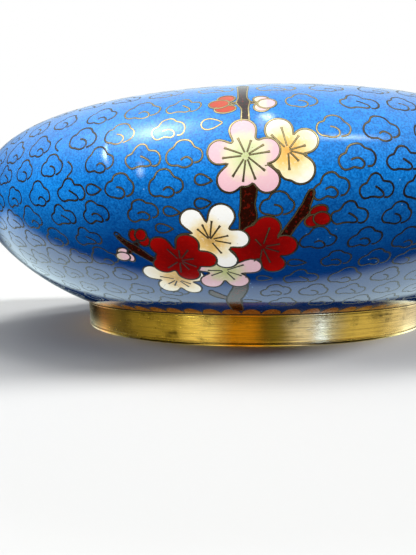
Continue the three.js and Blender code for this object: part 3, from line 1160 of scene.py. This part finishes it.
def surroundings():
    """White for the camera, soft light for the enamel's colours, and windows for its gloss."""
    world = bpy.data.worlds.new("studio_white")
    bpy.context.scene.world = world
    air = Finish(world)
    way = air.node("ShaderNodeTexCoord", {}, {}, "Generated")
    up, back, side = air.part(way, 2), air.part(way, 1), air.part(way, 0)
    seen = air.node("ShaderNodeLightPath", {}, {}, "Is Camera Ray")
    mirrored = air.node("ShaderNodeLightPath", {}, {}, "Is Glossy Ray")
    below = 1.0 - up.above(-0.15, 0.0)
    soft = up.above(0.8, 1.0) * 2.1 + below * 0.7
    ceiling = up.above(0.05, 0.85) * 1.35
    horizon = (1.0 - up.above(0.0, 0.4)) * up.above(-0.4, -0.1) * 0.015
    under_bowl = (back - side * side * 0.9).above(0.56, 0.64)
    low_band = (1.0 - up.above(-0.25, -0.1)) * back.above(0.28, 0.42) * (1.0 - under_bowl) * 1.65
    far_edge = up.above(-0.3, -0.05) * back.above(0.7, 0.95) * 0.5
    gloss = ceiling + horizon + low_band + far_edge
    for centre, across, wide, tall, power in WINDOWS:
        gloss = gloss + window(air, way, centre, across, wide, tall) * power
    glow = mirrored * gloss + (1.0 - mirrored) * soft
    daylight = air.mix(mirrored, (1.0, 1.0, 1.0), (0.9, 1.02, 1.03))
    background = world.node_tree.nodes["Background"]
    air.feed(background.inputs["Strength"], seen + (1.0 - seen) * glow)
    air.feed(background.inputs["Color"], air.mix(below * mirrored, daylight, (0.84, 1.04, 1.07)))


# Operators
class BOWL_OT_camera(bpy.types.Operator):
    """Sets the camera where the photograph was taken from"""

    bl_idname = "bowl.camera"
    bl_label = "Camera"

    def execute(self, context):
        bpy.ops.object.camera_add(location=CAMERA_PLACE,
                                  rotation=[math.radians(angle) for angle in CAMERA_TURN])
        camera = context.object
        camera.name = "photo_camera"
        camera.data.sensor_width = SENSOR
        camera.data.lens = LENS
        camera.data.clip_start = 0.005
        context.scene.camera = camera
        return {"FINISHED"}


class BOWL_OT_stage(bpy.types.Operator):
    """Makes the pale floor, the soft windows and the white surroundings"""

    bl_idname = "bowl.stage"
    bl_label = "Stage"

    def execute(self, context):
        context.scene.view_settings.view_transform = "Standard"
        studio_floor()
        for sun in SUNS:
            soft_sun(*sun)
        for number, (azimuth, wide, radiance) in enumerate(BRASS_PANELS):
            turn = math.radians(azimuth)
            toward = (math.sin(turn), -math.cos(turn), -0.16)
            size = (2 * math.tan(math.radians(wide) / 2), 0.55)
            panel = soft_panel(f"brass_panel_{number}", toward, aimed(toward), size, radiance)
            if number == COOL_PANEL:
                panel.data.color = COOL
        soft_panel("floor_glow", (0.0, -0.12, -0.3), (math.pi, 0.0, 0.0), (0.3, 0.3), 1.3)
        surroundings()
        return {"FINISHED"}


def shell_line():
    """The outside line from the base to the mouth, as a mesh in the XZ plane."""
    curve = bpy.data.curves.new("shell_line", "CURVE")
    curve.dimensions = "3D"
    curve.resolution_u = 40
    spline = curve.splines.new("BEZIER")
    spline.bezier_points.add(2)
    flank, shoulder = OUTSIDE.flank, OUTSIDE.shoulder
    spots = ((flank[0], flank[0], flank[1]), (flank[2], flank[3], shoulder[1]),
             (shoulder[2], shoulder[3], shoulder[3]))
    for knot, (before, here, after) in zip(spline.bezier_points, spots):
        knot.handle_left_type = knot.handle_right_type = "FREE"
        knot.co, knot.handle_left, knot.handle_right = (
            (spot[0] * MM, 0.0, spot[1] * MM) for spot in (here, before, after))
    line = linked("enamelled_bowl", curve)
    pick(line)
    bpy.ops.object.convert(target="MESH")
    return bpy.context.object


def close_base(shell):
    """Fills the flat base with rings of faces about its middle, and faces the shell outwards."""
    base = SHELL_BOX[0][2]
    choose_edges(shell, lambda spot: abs(spot.z - base) < 0.001 * MM)
    for share in (0.75, 0.5, 0.25):
        inwards = share / (share + 0.25)
        bpy.ops.mesh.extrude_edges_move()
        bpy.ops.transform.resize(value=(inwards, inwards, 1.0), center_override=(0, 0, base))
    bpy.ops.mesh.extrude_edges_move()
    bpy.ops.mesh.merge(type="CENTER")
    bpy.ops.mesh.select_all(action="SELECT")
    bpy.ops.mesh.normals_make_consistent(inside=False)
    bpy.ops.object.mode_set(mode="OBJECT")
    lowest = min(shell.data.polygons, key=lambda face: face.center.z)
    if lowest.normal.z > 0:
        bpy.ops.object.mode_set(mode="EDIT")
        bpy.ops.mesh.select_all(action="SELECT")
        bpy.ops.mesh.flip_normals()
        bpy.ops.object.mode_set(mode="OBJECT")


def straighten_mouth(shell, wall):
    """Brings the wall's rim out to the mouth's edge, where the lip's band sits."""
    edge = MOUTH_EDGE_RADIUS * MM
    for vertex in shell.data.vertices:
        radius = math.hypot(vertex.co.x, vertex.co.y)
        if vertex.co.z > SHELL_BOX[1][2] - 1.5 * wall and radius < edge:
            vertex.co.x *= edge / radius
            vertex.co.y *= edge / radius


def is_inside(face):
    """Whether a face of the shell belongs to the plain inside."""
    spot, normal = face.center, face.normal
    inward = normal.x * spot.x + normal.y * spot.y < 0
    on_floor = normal.z > 0.5 and spot.z < BELLY_HEIGHT * MM
    under_shoulder = normal.z < 0 and spot.z > BELLY_HEIGHT * MM
    return inward or on_floor or under_shoulder


class BOWL_OT_shell(bpy.types.Operator):
    """Spins the enamelled shell from its outside line and gives it a wall"""

    bl_idname = "bowl.shell"
    bl_label = "Enamelled shell"

    def execute(self, context):
        wall = context.scene.bowl_sizes.wall
        shell = shell_line()
        spun(shell)
        close_base(shell)
        modifier(shell, "SOLIDIFY", thickness=wall, offset=-1.0, use_even_offset=True, use_rim=True)
        straighten_mouth(shell, wall)
        for ground in ("ground", "inside"):
            shell.data.materials.append(finishes()[ground])
        for face in shell.data.polygons:
            face.material_index = int(is_inside(face))
        finished(shell, None, "enamelled_shell")
        return {"FINISHED"}


def under_shell(radius):
    """Height of the foot ring's top at a radius, a solder gap under the shell."""
    return next(height for reach, height in OUTSIDE.line if reach >= radius) - SOLDER_GAP


class BOWL_OT_foot_ring(bpy.types.Operator):
    """Turns the brass foot ring, with its bead and groove at the bottom"""

    bl_idname = "bowl.foot_ring"
    bl_label = "Foot ring"

    def execute(self, context):
        outer = FOOT_BOX[1][0] / MM
        inner, low, middle = outer - FOOT_WALL, outer - FOOT_TAPER, outer - FOOT_WALL / 2
        top = under_shell(outer)
        outline = (
            (outer - 0.1, top), (outer, top - 0.15), (outer, top - 0.4), (outer - 0.22, top - 0.6),
            (outer - 0.16, top - 0.8), (low + 0.05, FOOT_BEAD + 0.35), (low - 0.12, FOOT_BEAD + 0.12),
            (low - 0.12, FOOT_BEAD), (low + 0.02, FOOT_BEAD - 0.2), (low, 0.6), (low - 0.3, 0.12),
            (low - 0.8, 0.0), (inner + 0.8, 0.0), (inner + 0.23, 0.23), (inner, 0.8),
            (inner, under_shell(inner)), (middle, under_shell(middle)),
        )
        ring = drawn("foot_ring_brass", [([(r, 0.0, z) for r, z in outline], True)])
        spun(ring)
        finished(ring, finishes()["brass"], "foot_ring", angle=30)
        linked_to("brass_pieces").objects.link(ring)
        return {"FINISHED"}


class BOWL_OT_lip(bpy.types.Operator):
    """Turns the round brass lip"""

    bl_idname = "bowl.lip"
    bl_label = "Lip"

    def execute(self, context):
        outer, low, high = LIP_BOX[1][0] / MM, LIP_BOX[0][2] / MM, LIP_BOX[1][2] / MM
        half = LIP_WIDTH / 2
        outline = [(outer, low)]
        for angle in (math.radians(degrees) for degrees in range(0, 181, 15)):
            outline.append((outer - half + half * math.cos(angle), high - half + half * math.sin(angle)))
        outline.append((outer - LIP_WIDTH, low))
        lip = drawn("lip_brass_band", [([(r, 0.0, z) for r, z in outline], True)])
        spun(lip)
        finished(lip, finishes()["lip"], "lip_band", angle=40)
        return {"FINISHED"}


class BOWL_OT_border(bpy.types.Operator):
    """Makes the scalloped border over the foot, one scallop copied round"""

    bl_idname = "bowl.border"
    bl_label = "Scalloped border"

    def execute(self, context):
        sizes = context.scene.bowl_sizes
        made = finishes()
        foot_radius = FOOT_BOX[1][0] / MM
        start = next(arc for arc, spot in zip(OUTSIDE.arcs, OUTSIDE.line) if spot[0] >= foot_radius) + 0.55
        pitch = 360 / sizes.scallops
        half = math.radians(pitch) * OUTSIDE.at(start)[0] / 2
        height = sizes.scallop_height / MM
        bpy.ops.mesh.primitive_grid_add(x_subdivisions=10, y_subdivisions=3, size=2 * MM)
        template = started("scallop")
        for vertex in template.data.vertices:
            x, y = vertex.co.x / MM, (vertex.co.y / MM + 1) / 2
            up = y * height * math.sqrt(1 - 0.97 * x * x)
            vertex.co = (x * half * 0.96 * MM, up * MM, 0.0)
        modifier(template, "SOLIDIFY", thickness=INLAY_DEPTH * MM, offset=-1.0)
        mound = []
        for across in (i / 6 - 1 for i in range(13)):
            mound.append((half * across, height * math.sqrt(1 - across * across)))
        edge = [(-half, -0.2), (0.0, -0.2), (half, -0.2)]
        bent = drawn("scallop_wire", [(mound, False), (edge, False)], sizes.wire_width / MM)
        scallops, wires = [], []
        for azimuth in (pitch * number for number in range(sizes.scallops)):
            scallops.append(linked("scallop", template.data.copy()))
            lay(scallops[-1], azimuth, start, lift=0.02)
            wires.append(linked("scallop_wire", bent.data.copy()))
            lay_wire(wires[-1], azimuth, start, sizes.wire_width)
        finished(joined("scalloped_border", scallops), made["scallop"])
        finished(joined("border_wires", wires), made["gilt"], angle=60)
        pick(template, bent)
        bpy.ops.object.delete()
        return {"FINISHED"}


class BOWL_OT_front_spray(bpy.types.Operator):
    """Lays the blossoms, buds, branches and drops of the photographed side"""

    bl_idname = "bowl.front_spray"
    bl_label = "Front spray"

    def execute(self, context):
        spray("front", FRONT_BLOSSOMS, FRONT_BUDS, FRONT_BRANCHES, FRONT_DROPS, FRONT_ARCS)
        return {"FINISHED"}


class BOWL_OT_back_spray(bpy.types.Operator):
    """Lays the plainer spray of the far side"""

    bl_idname = "bowl.back_spray"
    bl_label = "Back spray"

    def execute(self, context):
        spray("back", BACK_BLOSSOMS, BACK_BUDS, BACK_BRANCHES, BACK_DROPS)
        return {"FINISHED"}


def near_spray(azimuth, arc):
    """Whether a cloud here would run into a spray."""
    radius = OUTSIDE.at(arc)[0]
    half_across, half_up = CLOUD_ROOM
    for shape in SPRAY_SHAPES:
        for other, height in shape:
            across = math.radians((other - azimuth + 180) % 360 - 180) * radius
            if (across / half_across) ** 2 + ((height - arc) / half_up) ** 2 < 1:
                return True
    return False


def cloud_places(pitch):
    """Places of clouds as (azimuth, arc, whether in front): the set ones and the rest of each row."""
    places = [(azimuth, arc, True) for azimuth, arc in LONE_CLOUDS]
    for left_arc, right_arc, azimuths in CLOUD_ROWS:
        places += [(azimuth, left_arc if azimuth < 0 else right_arc, True) for azimuth in azimuths]
        first, last = azimuths[-1], azimuths[0] + 360
        count = round((last - first) / math.degrees(pitch / OUTSIDE.at(right_arc)[0]))
        for share in (number / count for number in range(1, count)):
            arc = right_arc + (left_arc - right_arc) * share
            places.append((first + (last - first) * share, arc, False))
    return places


def bent_cloud(template, size, bends):
    """A copy of a cloud's wire, bent a little, as no two are alike."""
    cloud = linked("cloud", template.data.copy())
    size *= 1 + 0.05 * bends[0]
    lean, wide = 0.08 * bends[1], size * (1 + 0.05 * bends[2])
    for vertex in cloud.data.vertices:
        x, y = vertex.co.x / MM, vertex.co.y / MM
        sway = 0.12 * bends[3] * math.sin(1.3 * y + 3 * bends[4])
        ripple = 0.1 * bends[4] * math.sin(1.1 * x + 3 * bends[5])
        along, up = x * wide + lean * y + sway, y * size + 0.04 * bends[5] * x + ripple
        vertex.co = (along * MM, up * MM, vertex.co.z)
    return cloud


class BOWL_OT_clouds(bpy.types.Operator):
    """Bends the cloud wires and sets them in rows round the bowl"""

    bl_idname = "bowl.clouds"
    bl_label = "Cloud wires"

    def execute(self, context):
        sizes = context.scene.bowl_sizes
        width = sizes.wire_width
        templates = [drawn("cloud", [(stroke, False)], width / MM, smooth=2) for stroke in CLOUD_STROKES]
        chance = random.Random(41)
        zones = {"flank": [], "belly": [], "shoulder": []}
        for azimuth, arc, in_front in cloud_places(sizes.cloud_pitch / MM):
            stray = 0.1 if in_front else 0.6
            azimuth += chance.uniform(-stray, stray)
            arc += chance.uniform(-stray, stray)
            bends = [chance.uniform(-1, 1) for _ in range(6)]
            template = chance.choice(templates)
            if not in_front and near_spray(azimuth, arc):
                continue
            cloud = bent_cloud(template, sizes.cloud_size * (0.9 if arc > SMALL_CLOUDS_FROM else 1.0), bends)
            lay_wire(cloud, azimuth, arc, width)
            zone = "flank" if arc < FLANK_TOP else "belly" if arc < BELLY_TOP else "shoulder"
            zones[zone].append(cloud)
        for zone, clouds in zones.items():
            finished(joined("cloud_wires_" + zone, clouds), finishes()["gilt"], angle=50)
        pick(*templates)
        bpy.ops.object.delete()
        return {"FINISHED"}


class BOWL_PT_panel(bpy.types.Panel):
    """Lists the bowl's sizes, colours and pieces"""

    bl_idname = "BOWL_PT_panel"
    bl_label = "Cloisonne bowl"
    bl_space_type = "VIEW_3D"
    bl_region_type = "UI"
    bl_category = "Bowl"

    def draw(self, context):
        layout = self.layout
        for group in (context.scene.bowl_sizes, context.scene.bowl_colours):
            for name in type(group).__annotations__:
                layout.prop(group, name)
        for operator in OPERATORS:
            layout.operator(operator.bl_idname)


OPERATORS = (
    BOWL_OT_camera, BOWL_OT_stage, BOWL_OT_shell, BOWL_OT_foot_ring, BOWL_OT_lip, BOWL_OT_border,
    BOWL_OT_front_spray, BOWL_OT_back_spray, BOWL_OT_clouds,
)
CLASSES = (BowlSizes, BowlColours, *OPERATORS, BOWL_PT_panel)


def register():
    """Makes the classes and the scene's sizes and colours known to Blender."""
    for kind in CLASSES:
        bpy.utils.register_class(kind)
    bpy.types.Scene.bowl_sizes = PointerProperty(type=BowlSizes)
    bpy.types.Scene.bowl_colours = PointerProperty(type=BowlColours)


def unregister():
    """Takes them away again."""
    del bpy.types.Scene.bowl_sizes
    del bpy.types.Scene.bowl_colours
    for kind in reversed(CLASSES):
        bpy.utils.unregister_class(kind)


def main():
    """Makes the whole bowl."""
    register()
    bpy.ops.bowl.camera()
    bpy.ops.bowl.stage()
    bpy.ops.bowl.shell()
    bpy.ops.bowl.foot_ring()
    bpy.ops.bowl.lip()
    bpy.ops.bowl.border()
    bpy.ops.bowl.front_spray()
    bpy.ops.bowl.back_spray()
    bpy.ops.bowl.clouds()


if __name__ == "__main__":
    main()
